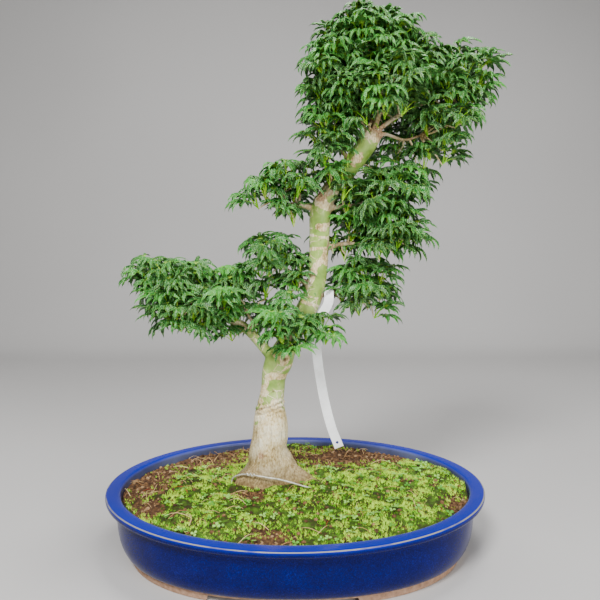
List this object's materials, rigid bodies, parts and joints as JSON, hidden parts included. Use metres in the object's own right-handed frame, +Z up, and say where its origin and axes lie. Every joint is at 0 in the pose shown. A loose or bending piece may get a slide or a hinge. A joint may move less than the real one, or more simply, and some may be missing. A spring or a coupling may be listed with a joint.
{
  "type": "potted japanese maple bonsai",
  "caption": "Bonsai maple with a curved trunk, clawed leaves in separate pads, a moss carpet and a shallow oval glazed pot.",
  "frame": {"origin": "under the middle of the pot, on the plane that its feet stand on", "axes": "+Z up, +X to the right and +Y to the back, as the tree is looked at from its front"},
  "size_m": [0.54, 0.422, 0.7368],
  "materials": {
    "pot_glaze": "gloss",
    "screen_mesh": "matte",
    "soil": "matte",
    "moss": "matte",
    "bark": "satin",
    "wire": "satin",
    "label": "satin",
    "leaf": "satin"
  },
  "bodies": {
    "root": {"pot_wall": "pot_glaze", "pot_base": "pot_glaze", "drain_screen_left": "screen_mesh", "drain_screen_right": "screen_mesh", "soil": "soil", "moss_carpet": "moss", "trunk_and_branches": "bark", "tie_wire": "wire", "label_strip": "label", "foliage_apex": "leaf", "foliage_top_right": "leaf", "foliage_upper_left": "leaf", "foliage_mid_right": "leaf", "foliage_lower_right": "leaf", "foliage_mid_left": "leaf", "foliage_lower_left": "leaf", "foliage_lower_centre": "leaf", "foliage_label_tuft": "leaf"}
  },
  "joints": []
}
